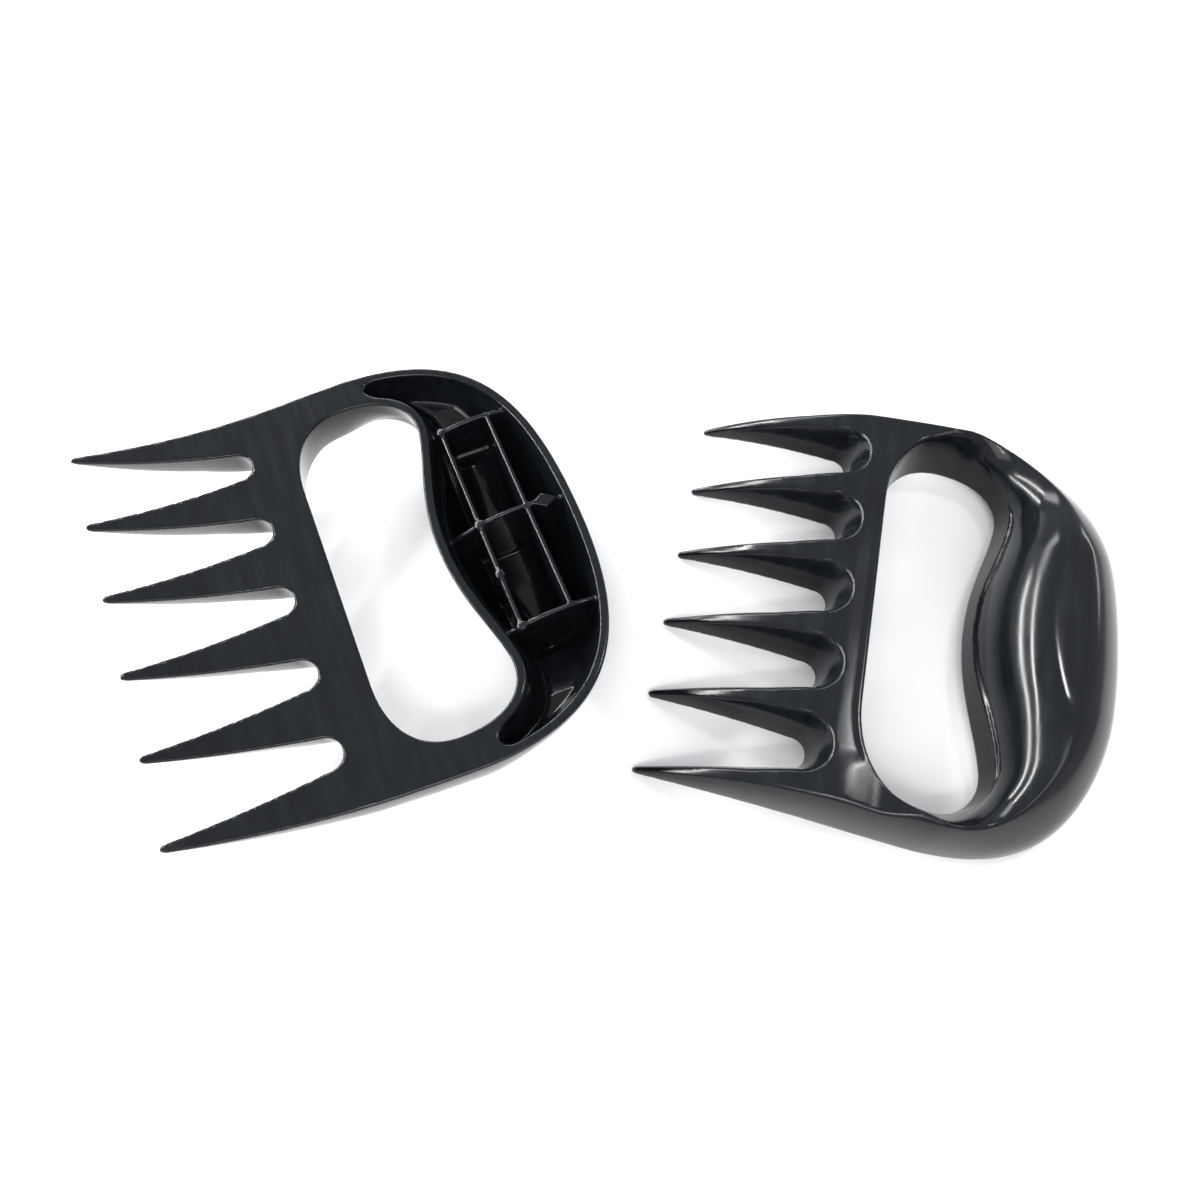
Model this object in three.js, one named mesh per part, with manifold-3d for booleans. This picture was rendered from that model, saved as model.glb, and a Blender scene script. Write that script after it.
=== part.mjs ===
// A pair of one-piece moulded claws ("hands"): six tines, a palm bar, two arms and a hollow ribbed grip
// round a finger hole. The right claw stands on its tine tips and the heel of its grip; the left claw
// lies on its back. Each claw is one solid.
// Millimetres. Claw frame: x runs from the tine tips to the grip, y across the tines, z up from the
// flat side; the tines hook down below it.
import * as THREE from "three";
import Module from "manifold-3d";

// Tines
const tineCount = 6;
const tinePitch = 19;
const tipHalfWidth = 0.9;
const tipHeight = 1.6;
const slotDepth = 36.7;
const slotRootRadius = 3.7;
const flankRun = 3.6; // how far a flank leans in, over the full height of the bar
const flankShareOfTine = 0.8;
const tipDrop = 10.4; // how far the tips hook down below the flat side
const hookStartX = 46;

// Palm bar, arms and grip
const barHeight = 13;
const barEndX = 49;
const crownHeight = 23;
const crownX = 81;
const armHeight = 15.5;
const archFlatY = 18; // the crown is level out to here, then falls towards the arms
const archFootY = 50;
const ridgePower = 1.4;
const tipEdgeY = 48.4;
const armEdgeX = 63;
const armEdgeY = 53.4;
const gripEdgeX = 104.7;
const armRounding = 5;
const gripRounding = 16.5;

// Finger hole
const holeFrontX = 46.4;
const holeHalfHeight = 44.8;
const gripBulgeX = 70.4;
const holeCornerX = 76.3;
const gripStartX = 65; // the arms' narrow rounding widens into the grip's from here
const lipHeightShare = 0.34;
const lipDraft = 1.2;
const lipLedge = 0.8; // the grip steps back by this much above the lip
const gripInnerRounding = 12;
const armInnerRounding = 3.5;
const barDraft = 1.2;

// Hollow and ribs of the grip
const skin = 2.2;
const pocketStartX = 67.5;
const ribThickness = 1.2;
const ribCrownX = 91; // the ribs' free edges come nearest to the flat side here
const ribCrownRecess = 0.8;
const ribCrownBend = 0.018;
const ribBite = 1.1; // how far a rib runs into the skin
const crossRibsY = [-31, -3, 25];
const longRibsX = [81.5, 93.5];
const pinRadius = 1.2;
const postRise = 0.3; // how far pins and boss stand above the ribs
const bossX = 98;
const bossHalfLength = 3.6;
const bossHalfWidth = 2.2;
const endFloorY = 36; // beyond this the hollow has a raised floor
const endFloorDepth = 8;
const channelWidth = 4.2; // left between the raised floor and the wall of the finger hole

// Where the two claws lie
const rightPlace = { x: 18.4, y: 2.9, turn: -12.5 };
const leftPlace = { x: -102.4, y: -24.2, turn: 22.7 };

const wasm = await Module();
wasm.setup();

const clamp01 = (value) => Math.min(1, Math.max(0, value));
const smooth = (value) => clamp01(value) ** 2 * (3 - 2 * clamp01(value));
const lerp = THREE.MathUtils.lerp;
// Quarter round: 0 at the foot of a wall, 1 where it turns level at the top.
const roundOver = (share) => 1 - Math.sqrt(1 - clamp01(share) ** 2);

// Side profile: height of the tine ridges, the level palm bar and the climb to the crown of the grip.
function ridgeHeight(x) {
  const rise = 1 - (1 - clamp01(x / (slotDepth + 3))) ** ridgePower;
  const climb = smooth((x - barEndX) / (crownX - barEndX));
  return tipHeight + (barHeight - tipHeight) * rise + (crownHeight - barHeight) * climb;
}

// How far the hooked tines have dropped below the flat side.
const hookDrop = (x) => tipDrop * Math.max(0, 1 - x / hookStartX) ** 2;

// End profile: the crown is an arch across the claw, lower where it meets the arms.
function archHeight(y) {
  return lerp(crownHeight, armHeight, smooth((Math.abs(y) - archFlatY) / (archFootY - archFlatY)));
}

const outerHeight = (point) => Math.min(ridgeHeight(point.x), archHeight(point.y));
// Height of the point at this share of the way from the flat side to the outer surface.
const heightAt = (point, share, wall) => share * (outerHeight(point) - wall) - hookDrop(point.x);

// Half the width of a tine on the flat side.
function tineHalfWidth(x) {
  const rootX = slotDepth - slotRootRadius;
  return lerp(tipHalfWidth, tinePitch / 2 - slotRootRadius, clamp01(x / rootX));
}

// A closed solid through rings of equal point count; the first and last ring are flat in `across`.
function loft(rings, across = ["x", "y"]) {
  const count = rings[0].length;
  const vertices = rings.flat().flatMap((point) => point.toArray());
  const faces = [];
  for (let ring = 0; ring + 1 < rings.length; ring++) {
    for (let i = 0; i < count; i++) {
      const a = ring * count + i;
      const b = ring * count + ((i + 1) % count);
      faces.push(a, b, b + count, a, b + count, a + count);
    }
  }
  const flat = rings[0].map((point) => new THREE.Vector2(point[across[0]], point[across[1]]));
  const last = (rings.length - 1) * count;
  for (const [a, b, c] of THREE.ShapeUtils.triangulateShape(flat, [])) {
    faces.push(a, c, b);
    faces.push(last + a, last + b, last + c);
  }
  const mesh = new wasm.Mesh({
    numProp: 3,
    vertProperties: new Float32Array(vertices),
    triVerts: new Uint32Array(faces),
  });
  return new wasm.Manifold(mesh);
}

// A box by its two corners.
function block(x0, y0, z0, x1, y1, z1) {
  const ring = (z) => [
    new THREE.Vector3(x0, y0, z),
    new THREE.Vector3(x1, y0, z),
    new THREE.Vector3(x1, y1, z),
    new THREE.Vector3(x0, y1, z),
  ];
  return loft([ring(z0), ring(z1)]);
}

// A post with a regular outline, such as a pin or a diamond boss.
function post(x, y, radiusX, radiusY, sides, z0, z1) {
  const ring = (z) => {
    const points = [];
    for (let i = 0; i < sides; i++) {
      const angle = (2 * Math.PI * i) / sides;
      points.push(new THREE.Vector3(x + radiusX * Math.cos(angle), y + radiusY * Math.sin(angle), z));
    }
    return points;
  };
  return loft([ring(z0), ring(z1)]);
}

// Samples a half outline (y from 0 up), mirrors it and lists it counterclockwise seen from +z.
function mirroredOutline(path, divisions) {
  const upper = path.getPoints(divisions);
  const lower = upper.filter((point) => point.y > 1e-6).map((point) => new THREE.Vector2(point.x, -point.y));
  const outline = [...lower, ...upper.reverse()];
  return THREE.ShapeUtils.isClockWise(outline) ? outline.reverse() : outline;
}

// Moves each point of a counterclockwise outline along its outward normal by amount(point).
function offsetOutline(outline, amount) {
  return outline.map((point, i) => {
    const before = outline[(i + outline.length - 1) % outline.length];
    const after = outline[(i + 1) % outline.length];
    const along = after.clone().sub(before).normalize();
    const outward = new THREE.Vector2(along.y, -along.x);
    return point.clone().addScaledVector(outward, amount(point));
  });
}

const ringAt = (outline, height) => outline.map((p) => new THREE.Vector3(p.x, p.y, height(p)));

// Outer edge of the claw on the flat side, from the middle of the grip to an outer tip.
function outerEdge() {
  const path = new THREE.Path();
  path.moveTo(gripEdgeX, 0);
  path.bezierCurveTo(gripEdgeX, 32, 97, armEdgeY, armEdgeX, armEdgeY);
  path.quadraticCurveTo(33, 52.4, 0, tipEdgeY);
  return mirroredOutline(path, 12);
}

// Edge of the finger hole on the flat side; the grip bulges into it at mid height.
function holeEdge() {
  const path = new THREE.Path();
  path.moveTo(gripBulgeX, 0);
  path.bezierCurveTo(gripBulgeX, 14, 74.8, 22, holeCornerX, 32);
  path.bezierCurveTo(77.2, 40, 71, holeHalfHeight, 61, holeHalfHeight);
  path.bezierCurveTo(51.5, holeHalfHeight, holeFrontX, 37.5, holeFrontX, 26);
  path.lineTo(holeFrontX, 0);
  return mirroredOutline(path, 7);
}

const heightShares = [0, 0.33, 0.36, 0.6, 0.8, 0.92, 1];
const aboveAll = crownHeight + 8;
const belowAll = -tipDrop - 4;
const levelled = (ring, height) => ring.map((point) => new THREE.Vector3(point.x, point.y, height));

// A loft carried straight down and straight up past everything.
function fullHeightLoft(rings) {
  return loft([levelled(rings[0], belowAll), ...rings, levelled(rings.at(-1), aboveAll)]);
}

// The outer wall, rounding over towards the top: narrow on the tines and arms, broad on the grip.
function domedBlank(wall) {
  const edge = outerEdge();
  const rounding = (x) => {
    const onTine = Math.min(flankRun, flankShareOfTine * tineHalfWidth(x));
    const onArm = lerp(onTine, armRounding, smooth((x - slotDepth) / 12));
    return lerp(onArm, gripRounding, smooth((x - armEdgeX) / 26));
  };
  const ring = (share) => {
    const inset = (point) => (point.x < 1e-6 ? -wall : -wall - rounding(point.x) * roundOver(share));
    return ringAt(offsetOutline(edge, inset), (point) => heightAt(point, share, wall));
  };
  return fullHeightLoft(heightShares.map(ring));
}

// Everything between the flat side, with its hooked tines, and the side profile.
function underRidge(wall) {
  const profile = [];
  for (let x = -4; x <= hookStartX; x += 4) {
    profile.push([x, -hookDrop(x) - wall]);
  }
  profile.push([gripEdgeX + 4, -wall]);
  const top = [];
  for (let x = -4; x <= gripEdgeX + 4; x += x < crownX ? 3 : 9) {
    top.unshift([x, ridgeHeight(x) - wall - hookDrop(x)]);
  }
  profile.push(...top);
  const ring = (y) => profile.map(([x, z]) => new THREE.Vector3(x, y, z));
  return loft([ring(80), ring(-80)], ["x", "z"]);
}

// Everything under the end profile.
function underArch(wall) {
  const profile = [];
  for (let y = -60; y <= 60; y += 4) {
    profile.unshift([y, archHeight(y) - wall]);
  }
  profile.unshift([-60, belowAll], [60, belowAll]);
  const ring = (x) => profile.map(([y, z]) => new THREE.Vector3(x, y, z));
  return loft([ring(-5), ring(gripEdgeX + 5)], ["y", "z"]);
}

// The finger hole as a cutter that widens upwards, most of all over the lip of the grip.
function holeCutter(wall) {
  const edge = holeEdge();
  const widening = (x, share) => {
    const overLip = clamp01((share - lipHeightShare) / (1 - lipHeightShare));
    const lip = lipDraft * clamp01(share / lipHeightShare) + (overLip > 0 ? lipLedge : 0);
    const onGrip = lip + gripInnerRounding * roundOver(overLip);
    const onArm = barDraft * share + armInnerRounding * roundOver(share);
    const onBar = barDraft * share;
    const front = lerp(onBar, onArm, smooth((x - holeFrontX) / 8));
    return lerp(front, onGrip, smooth((x - gripStartX) / 9));
  };
  const ring = (share) => {
    const outward = (point) => wall + widening(point.x, share);
    return ringAt(offsetOutline(edge, outward), (point) => heightAt(point, share, wall));
  };
  return fullHeightLoft(heightShares.map(ring));
}

// The body without slots; `wall` shrinks it evenly on every side but the flat one.
function blank(wall) {
  return domedBlank(wall).intersect(underRidge(wall)).intersect(underArch(wall)).subtract(holeCutter(wall));
}

// One slot between two tines, widening towards the outer side and rounded at its root.
function slotCutter(y) {
  const rootX = slotDepth - slotRootRadius;
  const stations = [-4, 0, 8, 16, 24, rootX];
  const ring = (share) => {
    const lean = 0.7 * share + 0.3 * roundOver(share);
    const half = stations.map((x) => {
      const grow = Math.min(flankRun, flankShareOfTine * tineHalfWidth(x)) * lean;
      return new THREE.Vector2(x, tinePitch / 2 - tineHalfWidth(x) + grow);
    });
    const outline = half.map((point) => new THREE.Vector2(point.x, -point.y));
    const radius = slotRootRadius + flankRun * lean;
    const steps = 10;
    for (let i = 1; i < steps; i++) {
      const angle = -Math.PI / 2 + (Math.PI * i) / steps;
      outline.push(new THREE.Vector2(rootX + radius * Math.cos(angle), radius * Math.sin(angle)));
    }
    outline.push(...half.reverse());
    const height = (point) => share * ridgeHeight(point.x) - hookDrop(point.x);
    return ringAt(outline, height).map((point) => point.setY(point.y + y));
  };
  return fullHeightLoft(heightShares.map(ring));
}

// The hollow in the grip, open on the flat side.
function pocketCutter() {
  return blank(skin).intersect(block(pocketStartX, -60, belowAll, gripEdgeX, 60, aboveAll));
}

// Height of the ribs' free edges above the flat side.
const ribEdge = (x) => ribCrownRecess + ribCrownBend * (x - ribCrownX) ** 2;

// Everything below the arched free edges of the ribs.
function belowRibs() {
  const profile = [[pocketStartX - 1, belowAll], [gripEdgeX, belowAll]];
  for (let x = gripEdgeX; x > pocketStartX - 2; x -= 3) {
    profile.push([x, ribEdge(x)]);
  }
  const ring = (y) => profile.map(([x, z]) => new THREE.Vector3(x, y, z));
  return loft([ring(60), ring(-60)], ["x", "z"]);
}

// Cross ribs, long ribs, pins at their crossings and one diamond boss, cut to the inside of the grip.
function ribs() {
  const [firstY, middleY, lastY] = crossRibsY;
  const half = ribThickness / 2;
  const top = crownHeight;
  let set = block(pocketStartX, middleY - half, 0, gripEdgeX, middleY + half, top);
  for (const y of [firstY, lastY]) {
    set = set.add(block(pocketStartX, y - half, 0, gripEdgeX, y + half, top));
  }
  for (const x of longRibsX) {
    set = set.add(block(x - half, firstY, 0, x + half, lastY, top));
  }
  set = set.subtract(belowRibs());
  for (const y of [firstY, middleY, (middleY + lastY) / 2, lastY]) {
    const foot = ribEdge(longRibsX[0]) - postRise;
    set = set.add(post(longRibsX[0], y, pinRadius, pinRadius, 12, foot, top));
  }
  const bossFoot = ribEdge(bossX) - postRise;
  set = set.add(post(bossX, middleY, bossHalfLength, bossHalfWidth, 4, bossFoot, top));
  return set.intersect(blank(skin - ribBite));
}

// A raised floor at each end of the hollow, stopping short of the wall round the finger hole.
function endFloors() {
  const channelEdge = offsetOutline(holeEdge(), () => skin + channelWidth);
  const channel = loft([ringAt(channelEdge, () => belowAll), ringAt(channelEdge, () => aboveAll)]);
  const near = block(pocketStartX - 1, -60, endFloorDepth, gripEdgeX, -endFloorY, aboveAll);
  const far = block(pocketStartX - 1, endFloorY, endFloorDepth, gripEdgeX, 60, aboveAll);
  return near.add(far).subtract(channel).intersect(blank(skin - ribBite));
}

function clawSolid() {
  let body = blank(0);
  for (let i = 1; i < tineCount; i++) {
    body = body.subtract(slotCutter((i - tineCount / 2) * tinePitch));
  }
  return body.subtract(pocketCutter()).add(ribs()).add(endFloors());
}

function geometryOf(solid) {
  const mesh = solid.getMesh();
  const geometry = new THREE.BufferGeometry();
  geometry.setAttribute("position", new THREE.BufferAttribute(new Float32Array(mesh.vertProperties), 3));
  geometry.setIndex(new THREE.BufferAttribute(new Uint32Array(mesh.triVerts), 1));
  geometry.computeVertexNormals();
  return geometry;
}

function clawMesh(name, geometry) {
  const plastic = new THREE.MeshStandardMaterial({ color: 0x14171a, roughness: 0.28, metalness: 0 });
  const mesh = new THREE.Mesh(geometry, plastic);
  mesh.name = name;
  return mesh;
}

// Turns a claw about the vertical, moves it to its place and sets it down on the floor.
function setDown(mesh, place) {
  const stand = new THREE.Group();
  stand.rotation.z = THREE.MathUtils.degToRad(place.turn);
  stand.position.set(place.x, place.y, 0);
  stand.add(mesh);
  stand.position.z = -new THREE.Box3().setFromObject(stand, true).min.z;
  return stand;
}

// Outer side up, tipped until the heel of the grip is as low as the tine tips.
function rightClaw(geometry) {
  const mesh = clawMesh("right_claw", geometry);
  mesh.rotation.y = Math.atan(tipDrop / gripEdgeX);
  return setDown(mesh, rightPlace);
}

// Turned over: the crown of the grip is on the floor and the flat side is level and up.
function leftClaw(geometry) {
  const mesh = clawMesh("left_claw", geometry);
  mesh.rotation.x = Math.PI;
  return setDown(mesh, leftPlace);
}

const hands = new THREE.Group();
const clawGeometry = geometryOf(clawSolid());
hands.add(rightClaw(clawGeometry));
hands.add(leftClaw(clawGeometry.clone()));

// The origin is under the middle of the pair.
const middle = new THREE.Box3().setFromObject(hands, true).getCenter(new THREE.Vector3());
hands.position.set(-middle.x, -middle.y, 0);

export default hands;
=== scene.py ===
"""A pair of black moulded plastic hand claws on a pale floor.

Each claw is one rounded solid, described by a smooth field in millimetres (negative inside) and
meshed from it. Claw frame: x runs from the tine tips to the grip, y across the tines, z up from the
flat side; the tines hook down below it.
"""
import math

import bpy
import numpy as np
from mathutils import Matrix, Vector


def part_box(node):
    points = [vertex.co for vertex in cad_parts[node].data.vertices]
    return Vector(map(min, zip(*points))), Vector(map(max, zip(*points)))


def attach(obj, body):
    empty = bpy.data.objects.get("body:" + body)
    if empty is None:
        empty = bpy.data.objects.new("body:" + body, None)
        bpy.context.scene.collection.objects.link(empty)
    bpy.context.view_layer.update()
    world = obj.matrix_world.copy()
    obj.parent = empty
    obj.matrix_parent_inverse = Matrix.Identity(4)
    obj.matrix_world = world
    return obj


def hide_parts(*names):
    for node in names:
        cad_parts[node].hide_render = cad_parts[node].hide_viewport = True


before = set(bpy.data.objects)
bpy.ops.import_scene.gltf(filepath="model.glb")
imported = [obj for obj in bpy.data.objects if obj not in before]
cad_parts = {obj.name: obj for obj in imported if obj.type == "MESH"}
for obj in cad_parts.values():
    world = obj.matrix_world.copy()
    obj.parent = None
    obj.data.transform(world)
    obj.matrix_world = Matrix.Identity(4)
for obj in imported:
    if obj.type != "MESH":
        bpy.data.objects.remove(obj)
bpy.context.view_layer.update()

import openvdb
from mathutils import Matrix, Vector

MM = 0.001

# Tines
TINE_PITCH = 19
TIP_HALF_WIDTH = 0.9
TIP_HEIGHT = 1.6
SLOT_DEPTH = 36.7
SLOT_ROOT_RADIUS = 3.7
FLANK_RUN = 3.6
FLANK_SHARE_OF_TINE = 0.8
TIP_DROP = 10.4
HOOK_START_X = 46

# Palm bar, arms and grip
BAR_HEIGHT = 13
BAR_END_X = 49
CROWN_HEIGHT = 23
CROWN_X = 81
ARM_HEIGHT = 15.5
ARCH_FLAT_Y = 18
ARCH_FOOT_Y = 50
RIDGE_POWER = 1.4
RIDGE_RUN_ON = 3  # the tine ridges reach the bar's height this far behind the slots
CLIMB_POWER = 4.0  # how closely the climb, the arch and the shoulders keep to their own heights
SHOULDER_X = 37  # the arms start to stand up from the bar here
SHOULDER_RUN = 16
SHOULDER_Y = 37
SHOULDER_FADE = 8
TIP_EDGE_Y = 48.4
ARM_EDGE_X = 63
ARM_EDGE_Y = 53.4
GRIP_EDGE_X = 104.7
ARM_ROUNDING = 5
ARM_ROUNDING_RUN = 12
GRIP_ROUNDING = 16.5
GRIP_ROUNDING_RUN = 26

# Finger hole
HOLE_FRONT_X = 46.4
HOLE_HALF_HEIGHT = 44.8
GRIP_BULGE_X = 70.4
HOLE_CORNER_X = 76.3
GRIP_START_X = 59  # the arms' narrow rounding widens into the grip's from here
GRIP_BLEND = 18
LIP_HEIGHT_SHARE = 0.34
DRAFT = 1.2
LIP_LEDGE = 0.8  # the grip steps back by this much above the lip
LEDGE_STEP = 0.05  # share of the height over which it steps
LEDGE_END_Y = 40
LEDGE_FADE = 10
GRIP_INNER_ROUNDING = 12
ARM_INNER_ROUNDING = 3.5
ARM_INNER_RUN = 8
BAR_INNER_ROUNDING = 0.9
BEAD_HEIGHT = 0.55
BEAD_INSET = 2.5
BEAD_HALF_WIDTH = 0.75
BEAD_END_X = 56
BEAD_FADE = 8

# Hollow and ribs of the grip
SKIN = 2.2
POCKET_START_X = 67.5
POCKET_CORNER = 4
RIB_THICKNESS = 1.2
RIB_CROWN_X = 91
RIB_CROWN_RECESS = 0.8
RIB_CROWN_BEND = 0.018
RIB_BITE = 1.1  # how far a rib runs into the skin
RIB_SOFTNESS = 0.5
CROSS_RIBS_Y = (-31, -3, 25)
LONG_RIBS_X = (81.5, 93.5)
PIN_RADIUS = 1.2
POST_RISE = 0.3  # how far pins and boss stand above the ribs
BOSS_X = 98
BOSS_HALF_LENGTH = 3.6
BOSS_HALF_WIDTH = 2.2
END_FLOOR_Y = 29
END_FLOOR_DEPTH = 8
END_FLOOR_BEND_Y = 41  # the floors slope into the hollow on the inner side of this
END_FLOOR_SLOPE = 0.45
END_FLOOR_SOFTNESS = 1.5
CHANNEL_WIDTH = 4.2  # left between a raised floor and the wall of the finger hole
CHANNEL_SOFTNESS = 2
MARK_X = 92
MARK_Y = 43
MARK_RADIUS = 2.6
MARK_HALF_WIDTH = 0.35
MARK_RISE = 0.5
MARK_FILLET = 0.4

# Where each claw's origin is in the row frame, and how it lies
RIGHT_ORIGIN = (17.359, 10.386)
RIGHT_TURN = -12.5
LEFT_ORIGIN = (-103.441, -16.714)
LEFT_TURN = 22.7

# Meshing
VOXEL = 0.6
MARGIN = 1.5
FAR = 5.0  # field values are cut off here
EDGE_SOFTNESS = 0.7
TIP_SOFTNESS = 1.2
INNER_FILLET = 0.7
LEAST_HEIGHT = 0.3
CLAW_PLACE = "claw_place"  # each point's place in the claw's own frame, for the moulding marks
EDGE_INSET = 0.2  # keeps the smooth outline within the facets of the frame's


def clamp01(value):
    return np.clip(value, 0, 1)


def smooth(value):
    value = clamp01(value)
    return value * value * (3 - 2 * value)


def lerp(a, b, share):
    return a + (b - a) * share


def both(a, b, softness):
    """The overlap of two solids, with the edge between them rounded."""
    blend = np.maximum(softness - np.abs(a - b), 0) / softness
    return np.maximum(a, b) + blend * blend * softness / 4


def either(a, b, softness):
    """Two solids joined, with a fillet between them."""
    return -both(-a, -b, softness)


# ---------------------------------------------------------------- outlines on the flat side

def bezier(p0, p1, p2, p3, count=70):
    t = np.linspace(0, 1, count)[:, None]
    p0, p1, p2, p3 = (np.array(p, float) for p in (p0, p1, p2, p3))
    return (1 - t) ** 3 * p0 + 3 * (1 - t) ** 2 * t * p1 + 3 * (1 - t) * t ** 2 * p2 + t ** 3 * p3


def quadratic(p0, p1, p2, count=50):
    t = np.linspace(0, 1, count)[:, None]
    p0, p1, p2 = (np.array(p, float) for p in (p0, p1, p2))
    return (1 - t) ** 2 * p0 + 2 * (1 - t) * t * p1 + t ** 2 * p2


def mirrored(half):
    """A whole outline from the half above the middle line, which starts on that line."""
    return np.vstack([half[::-1], half[1:] * (1, -1)])


def outer_edge():
    """The outer edge, run on past the tips so that the tips end in a plane of their own."""
    arm = (ARM_EDGE_X, ARM_EDGE_Y)
    grip = bezier((GRIP_EDGE_X, 0), (GRIP_EDGE_X, 32), (97, ARM_EDGE_Y), arm)
    bend = (33, 52.4)
    side = quadratic(arm, bend, (0, TIP_EDGE_Y))
    run_on = 20
    slope = (bend[1] - TIP_EDGE_Y) / bend[0]
    return mirrored(np.vstack([grip, side[1:], (-run_on, TIP_EDGE_Y - slope * run_on)]))


def hole_edge():
    corner = (HOLE_CORNER_X, 32)
    top = (61, HOLE_HALF_HEIGHT)
    grip = bezier((GRIP_BULGE_X, 0), (GRIP_BULGE_X, 14), (74.8, 22), corner)
    turn = bezier(corner, (77.2, 40), (71, HOLE_HALF_HEIGHT), top)
    front = bezier(top, (51.5, HOLE_HALF_HEIGHT), (HOLE_FRONT_X, 37.5), (HOLE_FRONT_X, 26))
    return mirrored(np.vstack([grip, turn[1:], front[1:], (HOLE_FRONT_X, 0)]))


def signed_distance(outline, x, y):
    """Distance from points to a closed outline, negative inside it."""
    start = outline
    end = np.roll(outline, -1, axis=0)
    nearest = np.full(x.shape, np.inf)
    inside = np.zeros(x.shape, bool)
    for (ax, ay), (bx, by) in zip(start, end):
        length2 = (bx - ax) ** 2 + (by - ay) ** 2
        if length2 == 0:
            continue
        along = clamp01(((x - ax) * (bx - ax) + (y - ay) * (by - ay)) / length2)
        away = (x - ax - along * (bx - ax)) ** 2 + (y - ay - along * (by - ay)) ** 2
        nearest = np.minimum(nearest, away)
        if ay != by:
            crosses = (ay > y) != (by > y)
            inside ^= crosses & (x < ax + (y - ay) * (bx - ax) / (by - ay))
    return np.where(inside, -1, 1) * np.sqrt(nearest)


class DistanceMap:
    """Distances to an outline on a fine grid, read back between its points with a smooth cubic."""

    low = (-4.0, -60.0)
    step = 0.5
    count = (230, 241)

    def __init__(self, outline):
        x = self.low[0] + self.step * np.arange(self.count[0])
        y = self.low[1] + self.step * np.arange(self.count[1])
        self.table = signed_distance(outline, *np.meshgrid(x, y, indexing="ij"))

    def __call__(self, x, y):
        cells = []
        for value, low, count in zip((x, y), self.low, self.count):
            place = np.clip((value - low) / self.step, 1, count - 3.001)
            cell = place.astype(int)
            f = place - cell
            weights = (
                ((2 - f) * f - 1) * f / 2,
                ((3 * f - 5) * f * f + 2) / 2,
                ((4 - 3 * f) * f + 1) * f / 2,
                (f - 1) * f * f / 2,
            )
            cells.append((cell, weights))
        (i, wx), (j, wy) = cells
        total = 0
        for a in range(4):
            for b in range(4):
                total = total + wx[a] * wy[b] * self.table[i + a - 1, j + b - 1]
        return total


beyond_outer_edge = DistanceMap(outer_edge())
beyond_hole_edge = DistanceMap(hole_edge())


# ---------------------------------------------------------------- the claw as a field

def tine_height(x):
    rise = 1 - (1 - clamp01(x / (SLOT_DEPTH + RIDGE_RUN_ON))) ** RIDGE_POWER
    return TIP_HEIGHT + (BAR_HEIGHT - TIP_HEIGHT) * rise


def climb_share(x):
    """How far the side profile has climbed from the bar to the crown."""
    return smooth((x - BAR_END_X) / (CROWN_X - BAR_END_X))


def outer_height(x, y):
    """Height of the outer surface: it climbs from the bar to the crown and falls to the arms."""
    arm_share = (ARM_HEIGHT - BAR_HEIGHT) / (CROWN_HEIGHT - BAR_HEIGHT)
    on_arm = smooth((np.abs(y) - SHOULDER_Y) / SHOULDER_FADE)
    shoulder = arm_share * smooth((x - SHOULDER_X) / SHOULDER_RUN) * on_arm
    climb = (climb_share(x) ** CLIMB_POWER + shoulder ** CLIMB_POWER) ** (1 / CLIMB_POWER)
    climb = np.maximum(climb, 1e-3)
    arch = lerp(1, arm_share, smooth((np.abs(y) - ARCH_FLAT_Y) / (ARCH_FOOT_Y - ARCH_FLAT_Y)))
    lower = (climb ** -CLIMB_POWER + arch ** -CLIMB_POWER - 1) ** (-1 / CLIMB_POWER)
    return tine_height(x) + (CROWN_HEIGHT - BAR_HEIGHT) * lower


def hook_drop(x):
    """How far the hooked tines have dropped below the flat side."""
    return TIP_DROP * np.maximum(0, 1 - x / HOOK_START_X) ** 2


def tine_half_width(x):
    """Half the width of a tine on the flat side."""
    root_x = SLOT_DEPTH - SLOT_ROOT_RADIUS
    return lerp(TIP_HALF_WIDTH, TINE_PITCH / 2 - SLOT_ROOT_RADIUS, clamp01(x / root_x))


def flank_run(x):
    """How far the flank of a tine leans in over its full height."""
    return np.minimum(FLANK_RUN, FLANK_SHARE_OF_TINE * tine_half_width(x))


def wall_and_top(inward, radius, share, height):
    """A wall that turns over a quarter ellipse into the top surface, in about millimetres.

    inward is how far the point is behind the wall's foot, share how high it is against the top."""
    over = np.maximum(1 - inward / radius, 0)
    share = np.maximum(share, 0)
    size = np.maximum(np.sqrt(over ** 2 + share ** 2), 1e-3)
    slope = np.maximum(np.sqrt((over / radius) ** 2 + (share / height) ** 2), 1e-3 / height)
    return (size - 1) * size / slope


def hole_bead(x, y):
    """A fine raised line along the bar's and the arms' edge of the finger hole."""
    off_grip = 1 - smooth((x - BEAD_END_X) / BEAD_FADE)
    off_line = (beyond_hole_edge(x, y) - BEAD_INSET) / BEAD_HALF_WIDTH
    return BEAD_HEIGHT * off_grip * np.exp(-off_line ** 2)


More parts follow.
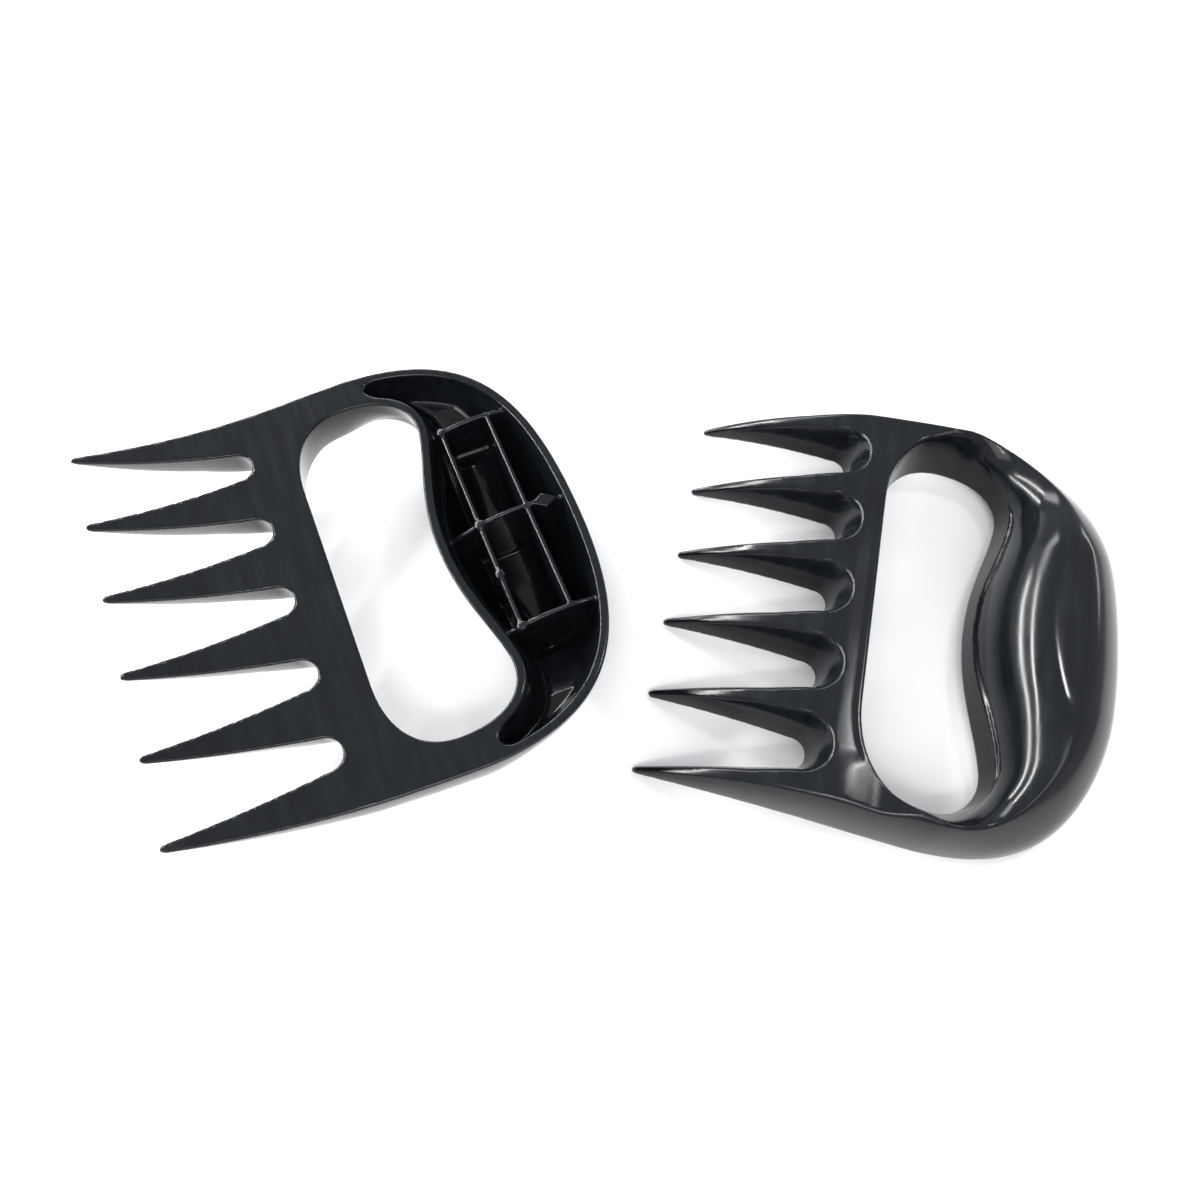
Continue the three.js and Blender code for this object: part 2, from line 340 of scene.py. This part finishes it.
def body(x, y, z, wall):
    """The claw without slots, hollow or flat side, shrunk by wall on every other side."""
    top = np.maximum(outer_height(x, y) - wall, LEAST_HEIGHT)
    is_outside = wall == 0
    if is_outside:
        top = top + hole_bead(x, y)
    share = (z + hook_drop(x)) / top
    on_arm = smooth((x - SLOT_DEPTH) / ARM_ROUNDING_RUN)
    on_grip = smooth((x - ARM_EDGE_X) / GRIP_ROUNDING_RUN)
    rounding = lerp(lerp(flank_run(x), ARM_ROUNDING, on_arm), GRIP_ROUNDING, on_grip)
    outside = wall_and_top(-beyond_outer_edge(x, y) - wall - EDGE_INSET, rounding, share, top)

    arm_side = smooth((x - HOLE_FRONT_X) / ARM_INNER_RUN)
    grip_side = smooth((x - GRIP_START_X) / GRIP_BLEND)
    radius = lerp(lerp(BAR_INNER_ROUNDING, ARM_INNER_ROUNDING, arm_side), GRIP_INNER_ROUNDING, grip_side)
    lip = LIP_HEIGHT_SHARE * grip_side
    draft = DRAFT * clamp01(share / lerp(1, LIP_HEIGHT_SHARE, grip_side))
    over_lip = (share - lip) / (1 - lip)
    off_ends = smooth((LEDGE_END_Y - np.abs(y)) / LEDGE_FADE)
    ledge = LIP_LEDGE * grip_side * smooth(over_lip / LEDGE_STEP) * off_ends
    run = beyond_hole_edge(x, y) - wall - draft - ledge
    hole = wall_and_top(run, radius, over_lip, top * (1 - lip))
    return both(outside, hole, EDGE_SOFTNESS)


def slots(x, y, z):
    """The tine flanks and the rounded slot roots, positive in a slot."""
    from_slot = y - TINE_PITCH * np.round(np.clip(y / TINE_PITCH, -2, 2))
    root_x = SLOT_DEPTH - SLOT_ROOT_RADIUS
    half_slot = TINE_PITCH / 2 - tine_half_width(x)
    along = np.abs(from_slot) - half_slot
    round_root = np.hypot(x - root_x, from_slot) - SLOT_ROOT_RADIUS
    into_tine = np.where(x < root_x, along, round_root)
    height = tine_height(x) + (CROWN_HEIGHT - BAR_HEIGHT) * climb_share(x)
    share = (z + hook_drop(x)) / height
    run = flank_run(x)
    return wall_and_top(into_tine - 0.5 * run * clamp01(share), 0.5 * run, share, height)


def ribs(x, y, z):
    """Cross ribs and long ribs, with pins and one diamond boss standing a little above them."""
    first, middle, last = CROSS_RIBS_Y
    half = RIB_THICKNESS / 2
    cross = np.minimum(np.minimum(np.abs(y - first), np.abs(y - middle)), np.abs(y - last)) - half
    along = np.minimum(np.abs(x - LONG_RIBS_X[0]), np.abs(x - LONG_RIBS_X[1])) - half
    along = np.maximum(along, np.maximum(first - y, y - last))
    web = either(cross, along, RIB_SOFTNESS)
    low = RIB_CROWN_RECESS + RIB_CROWN_BEND * (x - RIB_CROWN_X) ** 2 - z
    web = both(web, low, RIB_SOFTNESS)
    posts = np.hypot(x - LONG_RIBS_X[0], y - first) - PIN_RADIUS
    for pin_y in (middle, (middle + last) / 2, last):
        posts = np.minimum(posts, np.hypot(x - LONG_RIBS_X[0], y - pin_y) - PIN_RADIUS)
    millimetres = 1.8  # turns the diamond's share into about a distance
    boss = (np.abs(x - BOSS_X) / BOSS_HALF_LENGTH + np.abs(y - middle) / BOSS_HALF_WIDTH - 1) * millimetres
    posts = both(np.minimum(posts, boss), low - POST_RISE, RIB_SOFTNESS)
    return either(web, posts, RIB_SOFTNESS)


def end_floors(x, y, z):
    """The raised floors at the ends of the hollow, one with a half-round mark standing on it."""
    channel = SKIN + CHANNEL_WIDTH - beyond_hole_edge(x, y)
    ramp = END_FLOOR_SLOPE * np.maximum(END_FLOOR_BEND_Y - np.abs(y), 0)
    outline = both(channel, END_FLOOR_Y - np.abs(y), CHANNEL_SOFTNESS)
    floors = both(outline, END_FLOOR_DEPTH + ramp - z, END_FLOOR_SOFTNESS)
    ring = np.abs(np.hypot(x - MARK_X, y - MARK_Y) - MARK_RADIUS) - MARK_HALF_WIDTH
    outer_half = MARK_Y - 1 - y
    ring = np.maximum(np.maximum(ring, outer_half), END_FLOOR_DEPTH - MARK_RISE - z)
    return either(floors, ring, MARK_FILLET)


def claw(x, y, z):
    """The whole claw: negative inside the plastic."""
    solid = both(body(x, y, z, 0), slots(x, y, z), EDGE_SOFTNESS)
    solid = both(solid, -z - hook_drop(x), EDGE_SOFTNESS)
    solid = both(solid, -x, TIP_SOFTNESS)
    hollow = both(body(x, y, z, SKIN), POCKET_START_X - x, POCKET_CORNER)
    solid = both(solid, -hollow, EDGE_SOFTNESS)
    inner = either(ribs(x, y, z), end_floors(x, y, z), INNER_FILLET)
    inner = np.maximum(inner, body(x, y, z, SKIN - RIB_BITE))
    inner = np.maximum(inner, POCKET_START_X - x)
    return either(solid, inner, INNER_FILLET)


# ---------------------------------------------------------------- field to mesh

def field_mesh():
    """Points and triangles of the claw, and the field's own normals at the points."""
    half_width = 54
    low = np.array((0, -half_width, -TIP_DROP)) - MARGIN
    high = np.array((GRIP_EDGE_X, half_width, CROWN_HEIGHT)) + MARGIN
    x, y, z = (np.arange(a, b, VOXEL) for a, b in zip(low, high))
    values = claw(x[:, None, None], y[None, :, None], z[None, None, :]).astype(np.float32)
    grid = openvdb.FloatGrid(background=FAR)
    grid.copyFromArray(np.clip(values, -FAR, FAR))
    points, triangles, quads = grid.convertToPolygons(isovalue=0.0, adaptivity=0.0)
    points = points.astype(float) * VOXEL + low
    if len(quads):
        triangles = np.vstack([triangles.reshape(-1, 3), quads[:, [0, 1, 2]], quads[:, [0, 2, 3]]])

    def slope(p, reach=0.06):
        sides = []
        for axis in range(3):
            step = np.zeros(3)
            step[axis] = reach
            sides.append(claw(*(p + step).T) - claw(*(p - step).T))
        return np.stack(sides, axis=1) / (2 * reach)

    longest_move = 0.35 * VOXEL
    for _ in range(3):  # draws the points onto the surface
        gradient = slope(points)
        steep = np.maximum((gradient ** 2).sum(axis=1), 0.05)
        move = -(claw(*points.T) / steep)[:, None] * gradient
        length = np.linalg.norm(move, axis=1, keepdims=True)
        points += move * np.minimum(1, longest_move / np.maximum(length, 1e-9))
    normals = slope(points)
    normals /= np.maximum(np.linalg.norm(normals, axis=1, keepdims=True), 1e-9)
    return points, triangles, normals


def outward(points, triangles, normals):
    """Turns the triangles so that they face the way the field's normals do."""
    a, b, c = (points[triangles[:, k]] for k in range(3))
    facing = (np.cross(b - a, c - a) * normals[triangles[:, 0]]).sum()
    return triangles if facing > 0 else triangles[:, ::-1]


def add_claw(name, shape, turn, origin, floor_z):
    """One claw, turned, moved to its place and set down with its lowest point at floor_z."""
    points, triangles, normals = shape
    turn = np.array(turn)
    placed = points @ turn.T
    placed += (*origin, 0)
    placed[:, 2] += floor_z - placed[:, 2].min()
    mesh = bpy.data.meshes.new(name)
    mesh.from_pydata((placed * MM).tolist(), [], triangles.tolist())
    mesh.polygons.foreach_set("use_smooth", np.ones(len(mesh.polygons), bool))
    mesh.normals_split_custom_set_from_vertices((normals @ turn.T).tolist())
    own_frame = mesh.attributes.new(CLAW_PLACE, "FLOAT_VECTOR", "POINT")
    own_frame.data.foreach_set("vector", (points * MM).ravel())
    piece = bpy.data.objects.new(name, mesh)
    bpy.context.scene.collection.objects.link(piece)
    return piece


# ---------------------------------------------------------------- material

def new_material(name):
    material = bpy.data.materials.new(name)
    material.use_nodes = True
    nodes = material.node_tree.nodes
    return material, nodes, material.node_tree.links, nodes["Principled BSDF"]


def noise(nodes, links, coordinates, scale, detail=4.0, stretch=(1, 1, 1)):
    mapping = nodes.new("ShaderNodeMapping")
    mapping.inputs["Scale"].default_value = stretch
    texture = nodes.new("ShaderNodeTexNoise")
    texture.inputs["Scale"].default_value = scale
    texture.inputs["Detail"].default_value = detail
    links.new(coordinates, mapping.inputs["Vector"])
    links.new(mapping.outputs["Vector"], texture.inputs["Vector"])
    return texture.outputs["Fac"]


def spread(nodes, links, value, low, high, to_low, to_high):
    node = nodes.new("ShaderNodeMapRange")
    node.inputs["From Min"].default_value = low
    node.inputs["From Max"].default_value = high
    node.inputs["To Min"].default_value = to_low
    node.inputs["To Max"].default_value = to_high
    links.new(value, node.inputs["Value"])
    return node.outputs["Result"]


def claw_plastic():
    """Glossy black plastic: faint flow marks, handling haze and a soft ripple from the mould."""
    material, nodes, links, shader = new_material("claw_plastic")
    own_frame = nodes.new("ShaderNodeAttribute")
    own_frame.attribute_name = CLAW_PLACE
    place = own_frame.outputs["Vector"]
    haze = noise(nodes, links, place, 45, 5)
    streaks = noise(nodes, links, place, 60, 3, (7, 1, 5))
    ripple = noise(nodes, links, place, 70, 1.5)
    grain = noise(nodes, links, place, 2600, 2)

    tone = nodes.new("ShaderNodeMix")
    tone.data_type = "RGBA"
    tone.inputs["A"].default_value = (0.0036, 0.0043, 0.0054, 1)
    tone.inputs["B"].default_value = (0.0064, 0.0076, 0.0094, 1)
    links.new(spread(nodes, links, streaks, 0.35, 0.7, 0, 1), tone.inputs["Factor"])
    links.new(tone.outputs["Result"], shader.inputs["Base Color"])

    blur = nodes.new("ShaderNodeMath")
    blur.operation = "ADD"
    links.new(spread(nodes, links, haze, 0.3, 0.75, 0.10, 0.19), blur.inputs[0])
    links.new(spread(nodes, links, streaks, 0.45, 0.8, 0, 0.07), blur.inputs[1])
    links.new(blur.outputs["Value"], shader.inputs["Roughness"])
    shader.inputs["IOR"].default_value = 1.37

    soft = nodes.new("ShaderNodeBump")
    soft.inputs["Strength"].default_value = 0.35
    soft.inputs["Distance"].default_value = 0.00025
    links.new(ripple, soft.inputs["Height"])
    fine = nodes.new("ShaderNodeBump")
    fine.inputs["Strength"].default_value = 0.12
    fine.inputs["Distance"].default_value = 0.00002
    links.new(grain, fine.inputs["Height"])
    links.new(soft.outputs["Normal"], fine.inputs["Normal"])
    links.new(fine.outputs["Normal"], shader.inputs["Normal"])
    return material


def floor_material():
    material, _, _, shader = new_material("pale_floor")
    shader.inputs["Base Color"].default_value = (0.88, 0.88, 0.88, 1)
    shader.inputs["Roughness"].default_value = 0.75
    return material


# ---------------------------------------------------------------- the pair

points, triangles, normals = field_mesh()
shape = (points, outward(points, triangles, normals), normals)

tilt = math.atan(TIP_DROP / GRIP_EDGE_X)
right_turn = Matrix.Rotation(math.radians(RIGHT_TURN), 3, "Z") @ Matrix.Rotation(tilt, 3, "Y")
left_turn = Matrix.Rotation(math.radians(LEFT_TURN), 3, "Z") @ Matrix.Rotation(math.pi, 3, "X")
plastic = claw_plastic()
for side, turn, origin in (("right", right_turn, RIGHT_ORIGIN), ("left", left_turn, LEFT_ORIGIN)):
    node = side + "_claw"
    floor_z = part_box(node)[0].z / MM
    piece = add_claw(side + "_claw_visual", shape, turn, origin, floor_z)
    piece.data.materials.append(plastic)
    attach(piece, side + "_hand")
    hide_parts(node)

# ---------------------------------------------------------------- floor, light and camera

floor_mesh = bpy.data.meshes.new("floor")
reach = 3.0
just_below = -0.0002  # keeps the floor out of the plane that the claws stand on
floor_mesh.from_pydata([(-reach, -reach, 0), (reach, -reach, 0), (reach, reach, 0), (-reach, reach, 0)],
                       [], [(0, 1, 2, 3)])
floor_mesh.materials.append(floor_material())
floor = bpy.data.objects.new("floor", floor_mesh)
bpy.context.scene.collection.objects.link(floor)
floor.location.z = just_below


def softbox(name, place, aim, width, height, power):
    """An area lamp whose width is level, aimed at a point."""
    lamp = bpy.data.lights.new(name, "AREA")
    lamp.shape = "RECTANGLE"
    lamp.size = width
    lamp.size_y = height
    lamp.energy = power
    box = bpy.data.objects.new(name, lamp)
    box.location = place
    box.rotation_euler = (Vector(aim) - Vector(place)).to_track_quat("-Z", "Y").to_euler()
    bpy.context.scene.collection.objects.link(box)


# Two long strips on the left draw the lines along the grip; the small lamps pick out the bar and the arms.
softbox("left_low", (-0.90, 0.38, 0.30), (0, 0.03, 0), 1.5, 0.07, 16)
softbox("left_high", (-0.83, 0.44, 0.67), (0, 0.03, 0), 1.3, 0.07, 15)
softbox("right_top", (0.50, 0.27, 0.98), (0, 0, 0), 0.10, 0.10, 1.6)
softbox("front_top", (0.0, -0.95, 1.15), (0, 0, 0), 1.6, 0.9, 12)
softbox("front_strip", (0.0, -0.66, 1.0), (0, 0, 0), 0.5, 0.08, 3)
softbox("back", (-0.25, 1.0, 0.56), (0, 0, 0), 0.5, 0.2, 3)
softbox("right_back", (0.95, 0.50, 0.30), (0, 0, 0), 0.5, 0.10, 1.5)

world = bpy.data.worlds.new("studio")
world.use_nodes = True
world.node_tree.nodes["Background"].inputs["Color"].default_value = (0.93, 0.96, 1.0, 1)
world.node_tree.nodes["Background"].inputs["Strength"].default_value = 0.70
bpy.context.scene.world = world
bpy.context.scene.view_settings.view_transform = "Standard"

CAMERA_TARGET = Vector((-1.04, 7.49, 0)) * MM
CAMERA_DISTANCE = 248.7 * MM
CAMERA_ELEVATION = math.radians(64.9)
lens = bpy.data.cameras.new("camera")
lens.lens = 30
lens.sensor_width = 36
camera = bpy.data.objects.new("camera", lens)
back = Vector((0, -math.cos(CAMERA_ELEVATION), math.sin(CAMERA_ELEVATION)))
camera.location = CAMERA_TARGET + back * CAMERA_DISTANCE
camera.rotation_euler = (math.pi / 2 - CAMERA_ELEVATION, 0, 0)
lens.clip_start = 0.01
bpy.context.scene.collection.objects.link(camera)
bpy.context.scene.camera = camera
